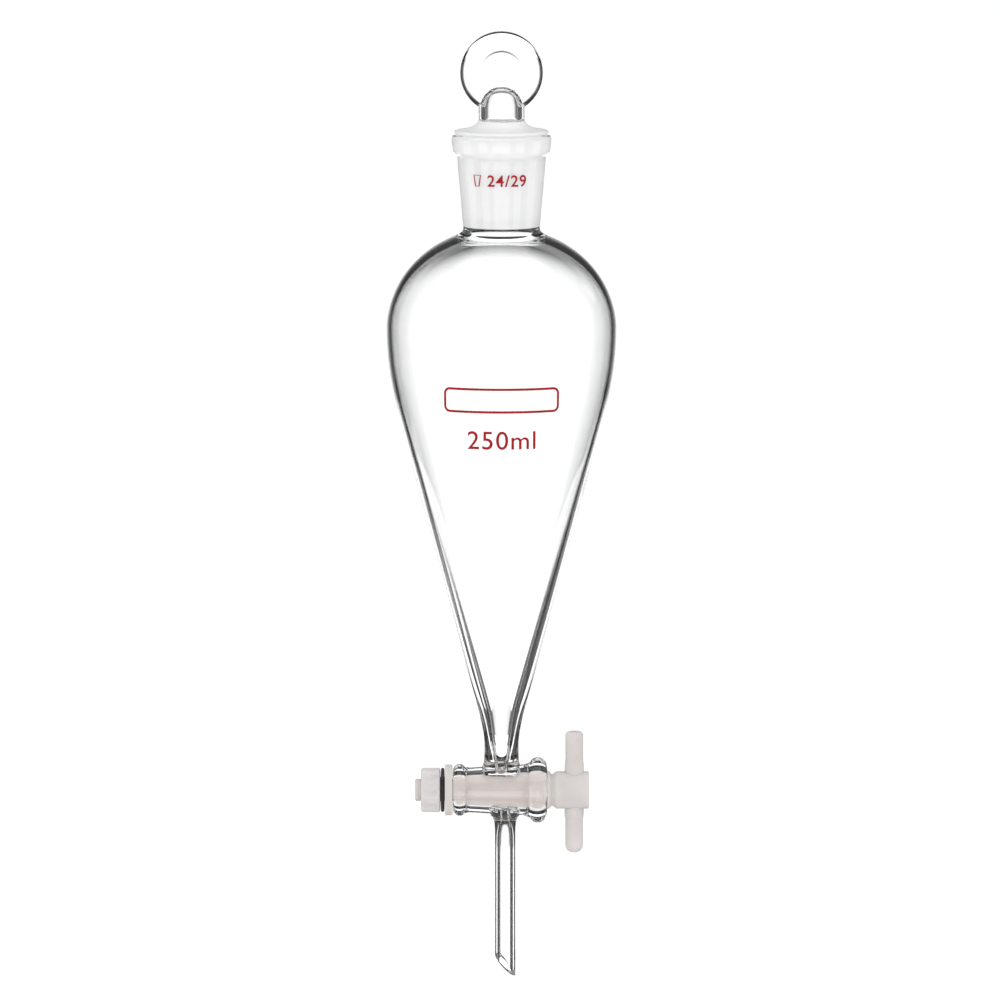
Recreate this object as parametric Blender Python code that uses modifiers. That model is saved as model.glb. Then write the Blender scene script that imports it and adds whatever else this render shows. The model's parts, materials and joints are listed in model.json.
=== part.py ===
"""Separatory funnel, 250 ml: a pear-shaped glass vessel with a 24/29 ground joint at its mouth,
a penny-head stopper, and a stopcock with a PTFE plug above a slant-cut drip tube.

Lengths below are in millimetres. Z is the vessel's axis, and z = 0 is where a support ring
touches the cone. The stopcock's axis runs along X, with its handle on the +X side.
The glass vessel is drawn as the sections that a glassblower seals together.
"""

import math

import bmesh
import bpy

MM = 0.001
GAP = 0.3  # between glass sections that are sealed together
SLIP = 0.2  # between stopcock pieces that only touch
SEGMENTS = 36
SMALL_SEGMENTS = 24

# Pear-shaped bulb: a half ellipse on top, then a cheek that runs into a straight cone
WALL = 1.8
BULB_R, BULB_Z, BULB_HEIGHT = 36.3, 35.5, 32.0
CONE_TOP_Z, CONE_TOP_R, CONE_TOP_BORE = -6.0, 28.6, 26.7
CONE_END_Z, CONE_END_R, CONE_END_BORE = -84.0, 7.9, 4.6
NECK_R, NECK_BORE, NECK_Z = 12.0, 10.4, 67.3

# 24/29 ground joint: 24 mm across at its wide end, 29 mm long, a taper of 1 in 10
JOINT_R, JOINT_LENGTH, JOINT_TAPER = 12.0, 29.0, 0.05
RIM_Z = 96.2
COLLAR_R, COLLAR_BOTTOM_Z = 15.8, 90.8
SOCKET_TOP_R = 14.0

# Stopper
FLANGE_Z, FLANGE_R, FLANGE_THICK = 96.6, 14.7, 1.0
NECK_HEIGHT_Z, STOPPER_NECK_R, DOME_START_Z, DOME_Z = 100.6, 7.15, 104.8, 111.5
STOPPER_BORE, STOPPER_WALL, STOPPER_END_Z = 5.2, 2.2, 69.0
PENNY_R, PENNY_Z, PENNY_THICK = 12.85, 115.6, 5.2

# Stopcock barrel, measured along X from the vessel's axis
AXIS_Z = -111.7
BARREL_LEFT, BARREL_RIGHT = -15.35, 14.5
BARREL_R_LEFT, BARREL_R_RIGHT = 6.9, 8.5
BORE_LEFT, BORE_RIGHT = 4.5, 6.0
LEFT_BEAD_R, LEFT_BEAD_TUBE = 8.3, 2.08
RIGHT_BEAD_R, RIGHT_BEAD_TUBE = 10.45, 3.05
FLOW_BORE = 1.25

# Stem above the barrel, and drip tube below it
STEM_R, STEM_BORE, STEM_START_Z = 5.45, 1.5, -97.5
DRIP_X, DRIP_R, DRIP_BORE = 1.25, 3.3, 1.9
DRIP_SEAL_R, DRIP_SEAL_BORE = 4.5, 1.1
TIP_Z, TIP_SLOPE_X, TIP_SLOPE_Y = -168.1, -1.0, 0.35

# Plug, with its hub and T-shaped handle in one piece
PLUG_COLLAR_R, PLUG_COLLAR_X = 6.15, 16.0
HUB_R, HUB_END = 5.95, 27.7
HANDLE_X, HANDLE_R, HANDLE_ROOT_R = 23.05, 2.8, 3.05
HANDLE_TOP_Z, HANDLE_BOTTOM_Z = -92.9, -131.8
THREAD_R, THREAD_END, DOG_R, DOG_END = 4.2, -24.6, 3.5, -27.4

# Washer, sealing ring and lobed nut on the plug's threaded tail
WASHER_R, WASHER_THICK = 8.05, 2.35
RING_R, RING_THICK = 7.0, 1.1
NUT_R, NUT_LENGTH, NUT_LOBES, NUT_FLUTE = 7.25, 6.1, 8, 0.6
TAIL_BORE = THREAD_R + SLIP


def bezier(start, near_start, near_end, end, steps):
    """The points of one cubic curve, both ends included."""
    points = []
    for i in range(steps + 1):
        t = i / steps
        weights = ((1 - t) ** 3, 3 * t * (1 - t) ** 2, 3 * t * t * (1 - t), t**3)
        corners = (start, near_start, near_end, end)
        points.append(tuple(sum(w * c[k] for w, c in zip(weights, corners)) for k in (0, 1)))
    return points


def arc(centre_r, centre_z, radius_r, radius_z, start, end, steps):
    """Points (r, z) of an elliptical arc; its angles are in degrees up from +r."""
    angles = [math.radians(start + (end - start) * i / steps) for i in range(steps + 1)]
    return [(centre_r + radius_r * math.cos(a), centre_z + radius_z * math.sin(a)) for a in angles]


def between(value, low, high, at_low, at_high):
    """A straight taper, read at one place along it."""
    return at_low + (at_high - at_low) * (value - low) / (high - low)


def barrel_radius(x):
    return between(x, BARREL_LEFT, BARREL_RIGHT, BARREL_R_LEFT, BARREL_R_RIGHT)


def barrel_bore(x):
    return between(x, BARREL_LEFT, BARREL_RIGHT, BORE_LEFT, BORE_RIGHT)


def clear_scene():
    for obj in list(bpy.data.objects):
        bpy.data.objects.remove(obj, do_unlink=True)
    for name in ("separatory_funnel", "cutters"):
        collection = bpy.data.collections.new(name)
        bpy.context.scene.collection.children.link(collection)
    bpy.data.collections["cutters"].hide_render = True


def material(name, colour, roughness, transmission=0.0):
    made = bpy.data.materials.new(name)
    made.use_nodes = True
    shader = made.node_tree.nodes["Principled BSDF"]
    shader.inputs["Base Color"].default_value = (*colour, 1.0)
    shader.inputs["Roughness"].default_value = roughness
    shader.inputs["Metallic"].default_value = 0.0
    shader.inputs["Transmission Weight"].default_value = transmission
    shader.inputs["IOR"].default_value = 1.47 if transmission else 1.4
    return made


def add_object(name, data, collection, look=None):
    obj = bpy.data.objects.new(name, data)
    bpy.data.collections[collection].objects.link(obj)
    if look:
        obj.data.materials.append(look)
    if collection == "cutters":
        obj.hide_render = True
        obj.display_type = "WIRE"
    return obj


def turned(name, outline, look=None, ring=False, segments=SEGMENTS, along_x=False, at=(0, 0, 0)):
    """A turned solid. The outline (r, z) runs down the outer side; a ring closes on itself."""
    mesh = bpy.data.meshes.new(name)
    count = len(outline)
    edges = [(i, i + 1) for i in range(count - 1)] + ([(count - 1, 0)] if ring else [])
    mesh.from_pydata([(r * MM, 0, z * MM) for r, z in outline], edges, [])
    obj = add_object(name, mesh, "separatory_funnel" if look else "cutters", look)
    obj.location = [value * MM for value in at]
    if along_x:
        obj.rotation_euler = (0, math.pi / 2, 0)
    screw = obj.modifiers.new("turn", "SCREW")
    screw.steps = screw.render_steps = segments
    screw.use_merge_vertices = True
    screw.merge_threshold = 1e-6
    screw.use_smooth_shade = True
    return obj


def cut(obj, cutter, operation="DIFFERENCE"):
    modifier = obj.modifiers.new(cutter.name, "BOOLEAN")
    modifier.operation = operation
    modifier.object = cutter


def drill(name, x, radius, top, bottom, segments=24):
    """A vertical cylinder that cuts a round hole."""
    outline = [(0, top), (radius, top), (radius, bottom), (0, bottom)]
    return turned(name, outline, segments=segments, at=(x, 0, 0))


def barrel_envelope():
    """The barrel's outside, grown by the gap, which trims the tubes sealed to it."""
    reach = 30.0
    outline = [
        (0, reach),
        (barrel_radius(reach) + GAP, reach),
        (barrel_radius(-reach) + GAP, -reach),
        (0, -reach),
    ]
    return turned("barrel_envelope", outline, along_x=True, at=(0, 0, AXIS_Z))


def cone_cheek(top_r, cone_r, steps):
    """From the bulb's widest ring down to the straight cone."""
    slope = (CONE_TOP_R - CONE_END_R) / (CONE_TOP_Z - CONE_END_Z)
    return bezier(
        (top_r, BULB_Z),
        (top_r, BULB_Z - 16.0),
        (cone_r + slope * 14.0, CONE_TOP_Z + 14.0),
        (cone_r, CONE_TOP_Z),
        steps,
    )


def joint_radius(z):
    """Radius of the 24/29 taper at a height, with its wide end at the rim."""
    return JOINT_R - JOINT_TAPER * (RIM_Z - z)


def ground_joint_socket(glass):
    foot_z = NECK_Z + GAP
    outline = [
        (joint_radius(RIM_Z), RIM_Z),
        (COLLAR_R - 0.3, RIM_Z),
        (COLLAR_R, RIM_Z - 0.5),
        (COLLAR_R - 0.3, COLLAR_BOTTOM_Z + 0.6),
        (COLLAR_R - 0.9, COLLAR_BOTTOM_Z),
        (SOCKET_TOP_R, COLLAR_BOTTOM_Z - 1.4),
        (between(foot_z + 2, foot_z, COLLAR_BOTTOM_Z, NECK_R, SOCKET_TOP_R), foot_z + 2),
        (NECK_R, foot_z),
        (joint_radius(RIM_Z - JOINT_LENGTH), foot_z),
    ]
    return turned("ground_joint_socket", outline, glass, ring=True)


def pear_bulb(glass):
    shoulder = math.degrees(math.acos(15.0 / BULB_R))
    inner_shoulder = math.degrees(math.acos(13.4 / (BULB_R - WALL)))
    outer = bezier((NECK_R, NECK_Z), (NECK_R, 65.9), (12.9, 65.5), (14.3, 64.9), 4)
    outer += arc(0, BULB_Z, BULB_R, BULB_HEIGHT, shoulder, 0, 9)
    outer += cone_cheek(BULB_R, CONE_TOP_R, 6)[1:]
    outer += [(CONE_END_R, CONE_END_Z)]
    inner = bezier((NECK_BORE, NECK_Z), (NECK_BORE, 64.6), (11.0, 63.9), (12.6, 63.4), 4)
    inner += arc(0, BULB_Z, BULB_R - WALL, BULB_HEIGHT - WALL, inner_shoulder, 0, 9)
    inner += cone_cheek(BULB_R - WALL, CONE_TOP_BORE, 6)[1:]
    inner += [(CONE_END_BORE, CONE_END_Z)]
    return turned("pear_bulb", outer + inner[::-1], glass, ring=True)


def stem_tube(glass, envelope):
    top_z = CONE_END_Z - GAP
    outer = bezier((CONE_END_R, top_z), (6.3, -90.0), (STEM_R, -93.5), (STEM_R, STEM_START_Z), 6)
    outer += bezier((STEM_R, -101.0), (STEM_R, -103.0), (5.9, -104.5), (6.4, -105.5), 3)
    outer += [(6.4, -110.0)]
    inner = bezier((CONE_END_BORE, top_z), (2.9, -90.2), (2.9, -97.0), (STEM_BORE, -102.5), 6)
    inner += [(STEM_BORE, -110.0)]
    obj = turned("stem_tube", outer + inner[::-1], glass, ring=True)
    cut(obj, envelope)
    return obj


def stopcock_barrel(glass):
    right_x = BARREL_RIGHT - RIGHT_BEAD_TUBE
    right_r = RIGHT_BEAD_R - RIGHT_BEAD_TUBE
    left_x = BARREL_LEFT + LEFT_BEAD_TUBE
    left_r = LEFT_BEAD_R - LEFT_BEAD_TUBE
    right_foot = 180 - math.degrees(math.asin((barrel_radius(right_x) - right_r) / RIGHT_BEAD_TUBE))
    left_foot = math.degrees(math.asin((barrel_radius(left_x) - left_r) / LEFT_BEAD_TUBE))
    outer = bead(right_r, right_x, RIGHT_BEAD_TUBE, 0, right_foot, 8)
    outer += bead(left_r, left_x, LEFT_BEAD_TUBE, left_foot, 180, 7)
    inner = [(BORE_LEFT, BARREL_LEFT), (BORE_RIGHT, BARREL_RIGHT)]
    obj = turned("stopcock_barrel", outer + inner, glass, ring=True, along_x=True, at=(0, 0, AXIS_Z))
    cut(obj, drill("inlet_drill", 0, STEM_BORE, AXIS_Z + 12, AXIS_Z + 2))
    cut(obj, drill("outlet_drill", DRIP_X, DRIP_SEAL_BORE, AXIS_Z - 2, AXIS_Z - 12))
    return obj


def bead(centre_r, centre_x, tube, start, end, steps):
    """The rolled bead at an end of the barrel; its angles are in degrees from +X, outwards."""
    angles = [math.radians(start + (end - start) * i / steps) for i in range(steps + 1)]
    return [(centre_r + tube * math.sin(a), centre_x + tube * math.cos(a)) for a in angles]


def drip_tube(glass, envelope):
    outer = [(DRIP_SEAL_R + 0.6, AXIS_Z - 4.5)]
    outer += bezier((DRIP_SEAL_R, -119.4), (3.9, -121.0), (DRIP_R, -122.0), (DRIP_R, -124.5), 4)
    outer += [(DRIP_R, -180.0)]
    inner = [(DRIP_SEAL_BORE, AXIS_Z - 4.5)]
    inner += bezier((DRIP_SEAL_BORE, -119.8), (1.2, -123.0), (DRIP_BORE, -124.0), (DRIP_BORE, -128.5), 4)
    inner += [(DRIP_BORE, -180.0)]
    at = (DRIP_X, 0, 0)
    obj = turned("drip_tube", outer + inner[::-1], glass, ring=True, segments=SMALL_SEGMENTS, at=at)
    cut(obj, envelope)
    cut(obj, slant_cutter())
    return obj


def slant_cutter():
    """A block below the plane of the slanted drip tip."""
    half, depth = 12.0, 30.0
    builder = bmesh.new()
    bmesh.ops.create_cube(builder, size=1.0)
    for vertex in builder.verts:
        x, y = (2 * half * value for value in vertex.co[:2])
        top = TIP_Z + TIP_SLOPE_X * x + TIP_SLOPE_Y * y
        z = top if vertex.co.z > 0 else TIP_Z - depth
        vertex.co = ((DRIP_X + x) * MM, y * MM, z * MM)
    mesh = bpy.data.meshes.new("slant_cutter")
    builder.to_mesh(mesh)
    builder.free()
    return add_object("slant_cutter", mesh, "cutters")


def penny_head():
    """The flat round grip, turned about Y, with a shallow thumb dish in both faces."""
    half, dish, round_r = PENNY_THICK / 2, 7.2, 1.5
    front = [(0, half - 0.4), (dish - 0.6, half - 0.4), (dish, half)]
    front += arc(PENNY_R - round_r, 0, round_r, half, 90, 0, 5)
    outline = front + [(r, -z) for r, z in front[-2::-1]]
    head = turned("penny_head", outline, segments=SEGMENTS, at=(0, 0, PENNY_Z))
    head.rotation_euler = (math.pi / 2, 0, 0)
    return head


def stopper(glass):
    fit = 0.25
    cone_top = FLANGE_Z - 0.1
    dome = bezier((STOPPER_NECK_R, DOME_START_Z), (6.9, 108.2), (4.4, DOME_Z), (0, DOME_Z), 7)
    body = dome[::-1]
    body += bezier((STOPPER_NECK_R, NECK_HEIGHT_Z), (7.6, 99.2), (9.4, 98.2), (FLANGE_R - 0.4, 97.6), 4)
    body += [(FLANGE_R, FLANGE_Z + FLANGE_THICK / 2), (FLANGE_R - 0.4, FLANGE_Z)]
    body += [(joint_radius(cone_top) - fit, FLANGE_Z), (joint_radius(STOPPER_END_Z) - fit, STOPPER_END_Z)]
    body += [(0, STOPPER_END_Z)]
    obj = turned("stopper", body, glass)
    cut(obj, penny_head(), "UNION")
    roof = bezier((STOPPER_BORE, 104.5), (5.0, 107.6), (3.4, 110.1), (0, 110.1), 5)
    wide = joint_radius(94.0) - STOPPER_WALL
    hollow = roof[::-1] + bezier((STOPPER_BORE, 100.0), (5.4, 97.0), (wide, 98.0), (wide, 94.0), 4)
    hollow += [(joint_radius(STOPPER_END_Z) - STOPPER_WALL, STOPPER_END_Z - 2), (0, STOPPER_END_Z - 2)]
    cut(obj, turned("stopper_hollow", hollow))
    return obj


def handle_bar():
    """The T-shaped handle's bar, which grows a little where it enters the hub."""
    root = 3.5
    top, bottom = HANDLE_TOP_Z - AXIS_Z, HANDLE_BOTTOM_Z - AXIS_Z
    outline = [(0, top), (HANDLE_R - 1.1, top), (HANDLE_R, top - 1.2), (HANDLE_R, HUB_R + root)]
    outline += [(HANDLE_ROOT_R, HUB_R + root - 1.2), (HANDLE_ROOT_R, -HUB_R - root + 1.2)]
    outline += [(HANDLE_R, -HUB_R - root), (HANDLE_R, bottom + 2.0), (HANDLE_R - 0.8, bottom + 0.6)]
    outline += [(HANDLE_R - 1.8, bottom), (0, bottom)]
    at = (HANDLE_X, 0, AXIS_Z)
    return turned("handle_bar", outline, segments=SMALL_SEGMENTS, at=at)


def stopcock_plug(ptfe):
    taper_end = BARREL_RIGHT + SLIP
    outline = [
        (0, HUB_END),
        (HUB_R - 0.5, HUB_END),
        (HUB_R, HUB_END - 0.5),
        (HUB_R, PLUG_COLLAR_X + 1.2),
        (HUB_R - 1.0, PLUG_COLLAR_X),
        (PLUG_COLLAR_R, PLUG_COLLAR_X - 0.9),
        (PLUG_COLLAR_R, taper_end + 0.1),
        (barrel_bore(taper_end) - SLIP, taper_end),
        (barrel_bore(BARREL_LEFT) - SLIP, BARREL_LEFT),
        (THREAD_R, BARREL_LEFT - 0.1),
        (THREAD_R, THREAD_END + 0.6),
        (DOG_R, THREAD_END),
        (DOG_R, DOG_END + 0.5),
        (DOG_R - 0.5, DOG_END),
        (0, DOG_END),
    ]
    at = (0, 0, AXIS_Z)
    obj = turned("stopcock_plug", outline, ptfe, segments=SMALL_SEGMENTS, along_x=True, at=at)
    cut(obj, handle_bar(), "UNION")
    cut(obj, drill("flow_drill", 0, FLOW_BORE, AXIS_Z + 9, AXIS_Z - 9))
    return obj


def flat_ring(name, look, left, right, outer, bevel):
    """A washer or seal on the plug's tail, with broken edges."""
    outline = [
        (TAIL_BORE, right),
        (outer - bevel, right),
        (outer, right - bevel),
        (outer, left + bevel),
        (outer - bevel, left),
        (TAIL_BORE, left),
    ]
    at = (0, 0, AXIS_Z)
    return turned(name, outline, look, ring=True, segments=SMALL_SEGMENTS, along_x=True, at=at)


def circle_spline(curve, radius_at, count):
    spline = curve.splines.new("POLY")
    spline.points.add(count - 1)
    spline.use_cyclic_u = True
    for i, point in enumerate(spline.points):
        angle = 2 * math.pi * i / count
        radius = radius_at(angle) * MM
        point.co = (radius * math.cos(angle), radius * math.sin(angle), 0, 1)


def nut(ptfe, right):
    """The knurled nut: an outline with eight finger flutes, and a hole for the tail."""
    phase = math.radians(18.5)

    def lobed(angle):
        return NUT_R - NUT_FLUTE * (0.5 - 0.5 * math.cos(NUT_LOBES * (angle - phase))) ** 3

    curve = bpy.data.curves.new("nut", "CURVE")
    curve.dimensions = "2D"
    curve.fill_mode = "BOTH"
    curve.extrude = NUT_LENGTH * MM / 2
    circle_spline(curve, lobed, NUT_LOBES * 8)
    circle_spline(curve, lambda angle: TAIL_BORE, SMALL_SEGMENTS)
    obj = add_object("nut", curve, "separatory_funnel", ptfe)
    obj.location = ((right - NUT_LENGTH / 2) * MM, 0, AXIS_Z * MM)
    obj.rotation_euler = (0, math.pi / 2, 0)
    return obj


def main():
    clear_scene()
    clear_glass = material("clear_glass", (0.95, 0.96, 0.96), 0.02, 1.0)
    frosted_glass = material("frosted_glass", (0.86, 0.86, 0.87), 0.55, 0.6)
    white_ptfe = material("white_ptfe", (0.78, 0.74, 0.72), 0.45)
    nut_ptfe = material("nut_ptfe", (0.80, 0.78, 0.78), 0.5)
    black_rubber = material("black_rubber", (0.02, 0.018, 0.018), 0.6)

    ground_joint_socket(frosted_glass)
    pear_bulb(clear_glass)
    envelope = barrel_envelope()
    stem_tube(clear_glass, envelope)
    stopcock_barrel(clear_glass)
    drip_tube(clear_glass, envelope)
    stopper(clear_glass)
    stopcock_plug(white_ptfe)
    washer_right = BARREL_LEFT - SLIP
    washer_left = washer_right - WASHER_THICK
    flat_ring("washer", white_ptfe, washer_left, washer_right, WASHER_R, 0.3)
    ring_right = washer_left - SLIP
    ring_left = ring_right - RING_THICK
    flat_ring("sealing_ring", black_rubber, ring_left, ring_right, RING_R, 0.4)
    nut(nut_ptfe, ring_left - SLIP)


main()
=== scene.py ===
"""The looks of the separatory funnel: one continuous glass vessel, its pressed glass stopper,
and the PTFE stopcock with its washer, sealing ring and nut, in a white studio.

Outlines are in millimetres, as points (r, z) round an axis: the vessel's upright one, or the
stopcock's, where z stands for the place along X. The ends of each piece, and its widest place
where that shows in the box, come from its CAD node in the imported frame.
"""

import math
import json

import bmesh
import bpy
import numpy as np
from mathutils import Euler, Matrix, Vector


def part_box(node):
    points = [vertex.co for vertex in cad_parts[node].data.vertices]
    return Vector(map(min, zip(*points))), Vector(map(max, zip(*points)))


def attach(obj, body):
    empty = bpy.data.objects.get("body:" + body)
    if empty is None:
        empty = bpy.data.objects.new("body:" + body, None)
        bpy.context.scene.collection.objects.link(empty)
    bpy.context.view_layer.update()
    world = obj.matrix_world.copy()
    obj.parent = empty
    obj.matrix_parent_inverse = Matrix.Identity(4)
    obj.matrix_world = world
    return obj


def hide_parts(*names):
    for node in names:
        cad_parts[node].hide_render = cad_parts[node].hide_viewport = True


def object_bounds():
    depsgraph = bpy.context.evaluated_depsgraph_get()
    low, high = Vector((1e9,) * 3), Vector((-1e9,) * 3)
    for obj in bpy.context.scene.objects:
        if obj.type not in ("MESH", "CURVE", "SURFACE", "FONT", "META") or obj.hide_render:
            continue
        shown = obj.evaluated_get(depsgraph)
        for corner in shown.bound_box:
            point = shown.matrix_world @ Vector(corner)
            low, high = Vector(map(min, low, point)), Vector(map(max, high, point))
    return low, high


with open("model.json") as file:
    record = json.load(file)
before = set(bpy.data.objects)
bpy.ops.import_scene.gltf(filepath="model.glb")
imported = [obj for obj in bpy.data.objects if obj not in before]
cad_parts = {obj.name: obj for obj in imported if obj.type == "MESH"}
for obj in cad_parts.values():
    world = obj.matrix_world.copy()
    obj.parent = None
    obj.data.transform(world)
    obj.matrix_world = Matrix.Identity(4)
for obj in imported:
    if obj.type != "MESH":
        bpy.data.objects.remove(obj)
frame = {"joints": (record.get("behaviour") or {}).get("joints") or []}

cad_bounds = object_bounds()

MM = 0.001


def mm_box(node):
    """A CAD node's lowest and highest corner, in millimetres."""
    low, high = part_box(node)
    return [value / MM for value in low], [value / MM for value in high]


JOINTS = {joint["name"]: joint for joint in frame["joints"]}
AXIS_Z = JOINTS["stopcock_turn"]["pos_m"][2] / MM

SOCKET_HIGH = mm_box("ground_joint_socket")[1]
BULB_HIGH = mm_box("pear_bulb")[1]
BARREL_LOW, BARREL_HIGH = mm_box("stopcock_barrel")
DRIP_LOW, DRIP_HIGH = mm_box("drip_tube")
STOPPER_LOW, STOPPER_HIGH = mm_box("stopper")
PLUG_LOW, PLUG_HIGH = mm_box("stopcock_plug")
WASHER_LOW, WASHER_HIGH = mm_box("washer")
RING_LOW, RING_HIGH = mm_box("sealing_ring")
NUT_LOW, NUT_HIGH = mm_box("nut")

# ---------------------------------------------------------------- curves and meshes


def bezier(start, near_start, near_end, end, steps):
    """The points of one cubic curve, both ends included."""
    points = []
    for i in range(steps + 1):
        t = i / steps
        weights = ((1 - t) ** 3, 3 * t * (1 - t) ** 2, 3 * t * t * (1 - t), t**3)
        corners = (start, near_start, near_end, end)
        points.append(tuple(sum(w * c[k] for w, c in zip(weights, corners)) for k in (0, 1)))
    return points


def arc(centre, radii, start, end, steps):
    """Points (r, z) of an elliptical arc; its angles are in degrees up from +r."""
    angles = [math.radians(start + (end - start) * i / steps) for i in range(steps + 1)]
    return [(centre[0] + radii[0] * math.cos(a), centre[1] + radii[1] * math.sin(a)) for a in angles]


def line(start, end, steps):
    """Evenly spaced points of a straight run, both ends included."""
    return [tuple(a + (b - a) * i / steps for a, b in zip(start, end)) for i in range(steps + 1)]


def rounded(corners, radius, steps=4):
    """An outline with each inner corner replaced by a small arc-like curve."""
    points = [corners[0]]
    for before, corner, after in zip(corners, corners[1:], corners[2:]):
        here = Vector(corner)
        ends = []
        for other in (before, after):
            way = Vector(other) - here
            reach = min(radius, way.length * 0.45)
            ends.append(here + way.normalized() * reach)
        middle = [e.lerp(here, 0.55) for e in ends]
        points += bezier(tuple(ends[0]), tuple(middle[0]), tuple(middle[1]), tuple(ends[1]), steps)
    return points + [corners[-1]]


def between(value, low, high, at_low, at_high):
    """A straight taper, read at one place along it."""
    return at_low + (at_high - at_low) * (value - low) / (high - low)


def new_object(name, mesh, *materials):
    obj = bpy.data.objects.new(name, mesh)
    bpy.context.scene.collection.objects.link(obj)
    for look in materials:
        obj.data.materials.append(look)
    return obj


def mesh_from(builder, name):
    """The mesh that a bmesh has built, which ends its use."""
    mesh = bpy.data.meshes.new(name)
    builder.to_mesh(mesh)
    builder.free()
    return mesh


def turned(name, outline, segments, ring=False, shape=None, place=Matrix.Identity(4)):
    """A turned solid. The outline runs down the outer side, and a ring's outline closes on itself.

    shape(r, z, angle) may change the radius round the axis, for lobes and threads.
    """
    on_axis = 1e-9
    verts, faces, rows = [], [], []
    for r, z in outline:
        if r < on_axis:
            rows.append([len(verts)])
            verts.append((0.0, 0.0, z))
            continue
        rows.append(list(range(len(verts), len(verts) + segments)))
        for i in range(segments):
            a = 2 * math.pi * i / segments
            radius = shape(r, z, a) if shape else r
            verts.append((radius * math.cos(a), radius * math.sin(a), z))
    pairs = list(zip(rows, rows[1:])) + ([(rows[-1], rows[0])] if ring else [])
    for upper, lower in pairs:
        for i in range(segments):
            j = (i + 1) % segments
            quad = [upper[i % len(upper)], lower[i % len(lower)]]
            quad += [lower[j % len(lower)], upper[j % len(upper)]]
            corners = list(dict.fromkeys(quad))
            if len(corners) > 2:
                faces.append(corners)
    mesh = bpy.data.meshes.new(name)
    mesh.from_pydata(verts, [], faces)
    mesh.transform(place)
    mesh.transform(Matrix.Scale(MM, 4))
    mesh.update()
    return new_object(name, mesh)


# Stands a turned solid along the stopcock's axis, with its z towards the handle.
ALONG_X = Matrix.Translation((0, 0, AXIS_Z)) @ Matrix.Rotation(math.pi / 2, 4, "Y")


def combine(obj, other, operation):
    """Applies one Boolean and removes the other object."""
    modifier = obj.modifiers.new(operation.lower(), "BOOLEAN")
    modifier.operation = operation
    modifier.solver = "MANIFOLD"
    modifier.object = other
    graph = bpy.context.evaluated_depsgraph_get()
    mesh = bpy.data.meshes.new_from_object(obj.evaluated_get(graph))
    obj.modifiers.clear()
    obj.data = mesh
    bpy.data.objects.remove(other, do_unlink=True)


def finish_surface(obj, sharp_degrees):
    """Smooth shading, with the edges that turn by more than this kept sharp."""
    obj.data.shade_smooth()
    obj.data.set_sharp_from_angle(angle=math.radians(sharp_degrees))


def put_material(obj, looks, choose):
    """Gives each face the look whose number choose(centre, normal) returns; the centre is in mm."""
    obj.data.materials.clear()
    for look in looks:
        obj.data.materials.append(look)
    for face in obj.data.polygons:
        face.material_index = choose(face.center / MM, face.normal)


# ---------------------------------------------------------------- materials


def nodes_of(name):
    made = bpy.data.materials.new(name)
    made.use_nodes = True
    tree = made.node_tree
    return made, tree, tree.nodes["Principled BSDF"]


def noise(tree, scale, detail=3.0, stretch=(1, 1, 1)):
    """Object-space noise; scale is in cells per metre."""
    coords = tree.nodes.new("ShaderNodeTexCoord")
    mapping = tree.nodes.new("ShaderNodeMapping")
    mapping.inputs["Scale"].default_value = stretch
    texture = tree.nodes.new("ShaderNodeTexNoise")
    texture.inputs["Scale"].default_value = scale
    texture.inputs["Detail"].default_value = detail
    tree.links.new(coords.outputs["Object"], mapping.inputs["Vector"])
    tree.links.new(mapping.outputs["Vector"], texture.inputs["Vector"])
    return texture.outputs["Fac"]


def spread(tree, value, low, high):
    """Noise, which mostly lies between 0.3 and 0.7, stretched to run between two limits."""
    node = tree.nodes.new("ShaderNodeMapRange")
    node.inputs["From Min"].default_value = 0.3
    node.inputs["From Max"].default_value = 0.7
    node.inputs["To Min"].default_value = low
    node.inputs["To Max"].default_value = high
    tree.links.new(value, node.inputs["Value"])
    return node.outputs["Result"]


def bump(tree, shader, height, depth):
    """Surface relief from a height that runs from 0 to 1; depth is in metres."""
    node = tree.nodes.new("ShaderNodeBump")
    node.inputs["Distance"].default_value = depth
    tree.links.new(height, node.inputs["Height"])
    tree.links.new(node.outputs["Normal"], shader.inputs["Normal"])


BOROSILICATE_IOR = 1.473
PTFE_IOR = 1.38


def clear_glass(name, waviness):
    """Fire-polished borosilicate: clear, with the faint draw marks of blown glass."""
    made, tree, shader = nodes_of(name)
    shader.inputs["Base Color"].default_value = (0.995, 1.0, 0.997, 1)
    shader.inputs["Roughness"].default_value = 0.0
    shader.inputs["Transmission Weight"].default_value = 1.0
    shader.inputs["IOR"].default_value = BOROSILICATE_IOR
    bump(tree, shader, noise(tree, 55, 1.0, (1, 1, 0.35)), waviness)
    return made


def frosted_glass(name, tone, clarity, low, high, depth):
    """Glass ground with fine grit, which scatters most of the light and passes the rest."""
    made, tree, shader = nodes_of(name)
    mottled(tree, shader, (tone - 0.03,) * 3, (tone,) * 3, 500)
    shader.inputs["Transmission Weight"].default_value = clarity
    shader.inputs["IOR"].default_value = BOROSILICATE_IOR
    tree.links.new(spread(tree, noise(tree, 900), low, high), shader.inputs["Roughness"])
    bump(tree, shader, noise(tree, 6000, 2.0, (1, 1, 0.4)), depth)
    return made


def mottled(tree, shader, dark, light, scale):
    """A base colour that drifts between two close tones."""
    mix = tree.nodes.new("ShaderNodeMix")
    mix.data_type = "RGBA"
    mix.inputs["A"].default_value = (*dark, 1)
    mix.inputs["B"].default_value = (*light, 1)
    tree.links.new(spread(tree, noise(tree, scale), 0, 1), mix.inputs["Factor"])
    tree.links.new(mix.outputs["Result"], shader.inputs["Base Color"])


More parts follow.
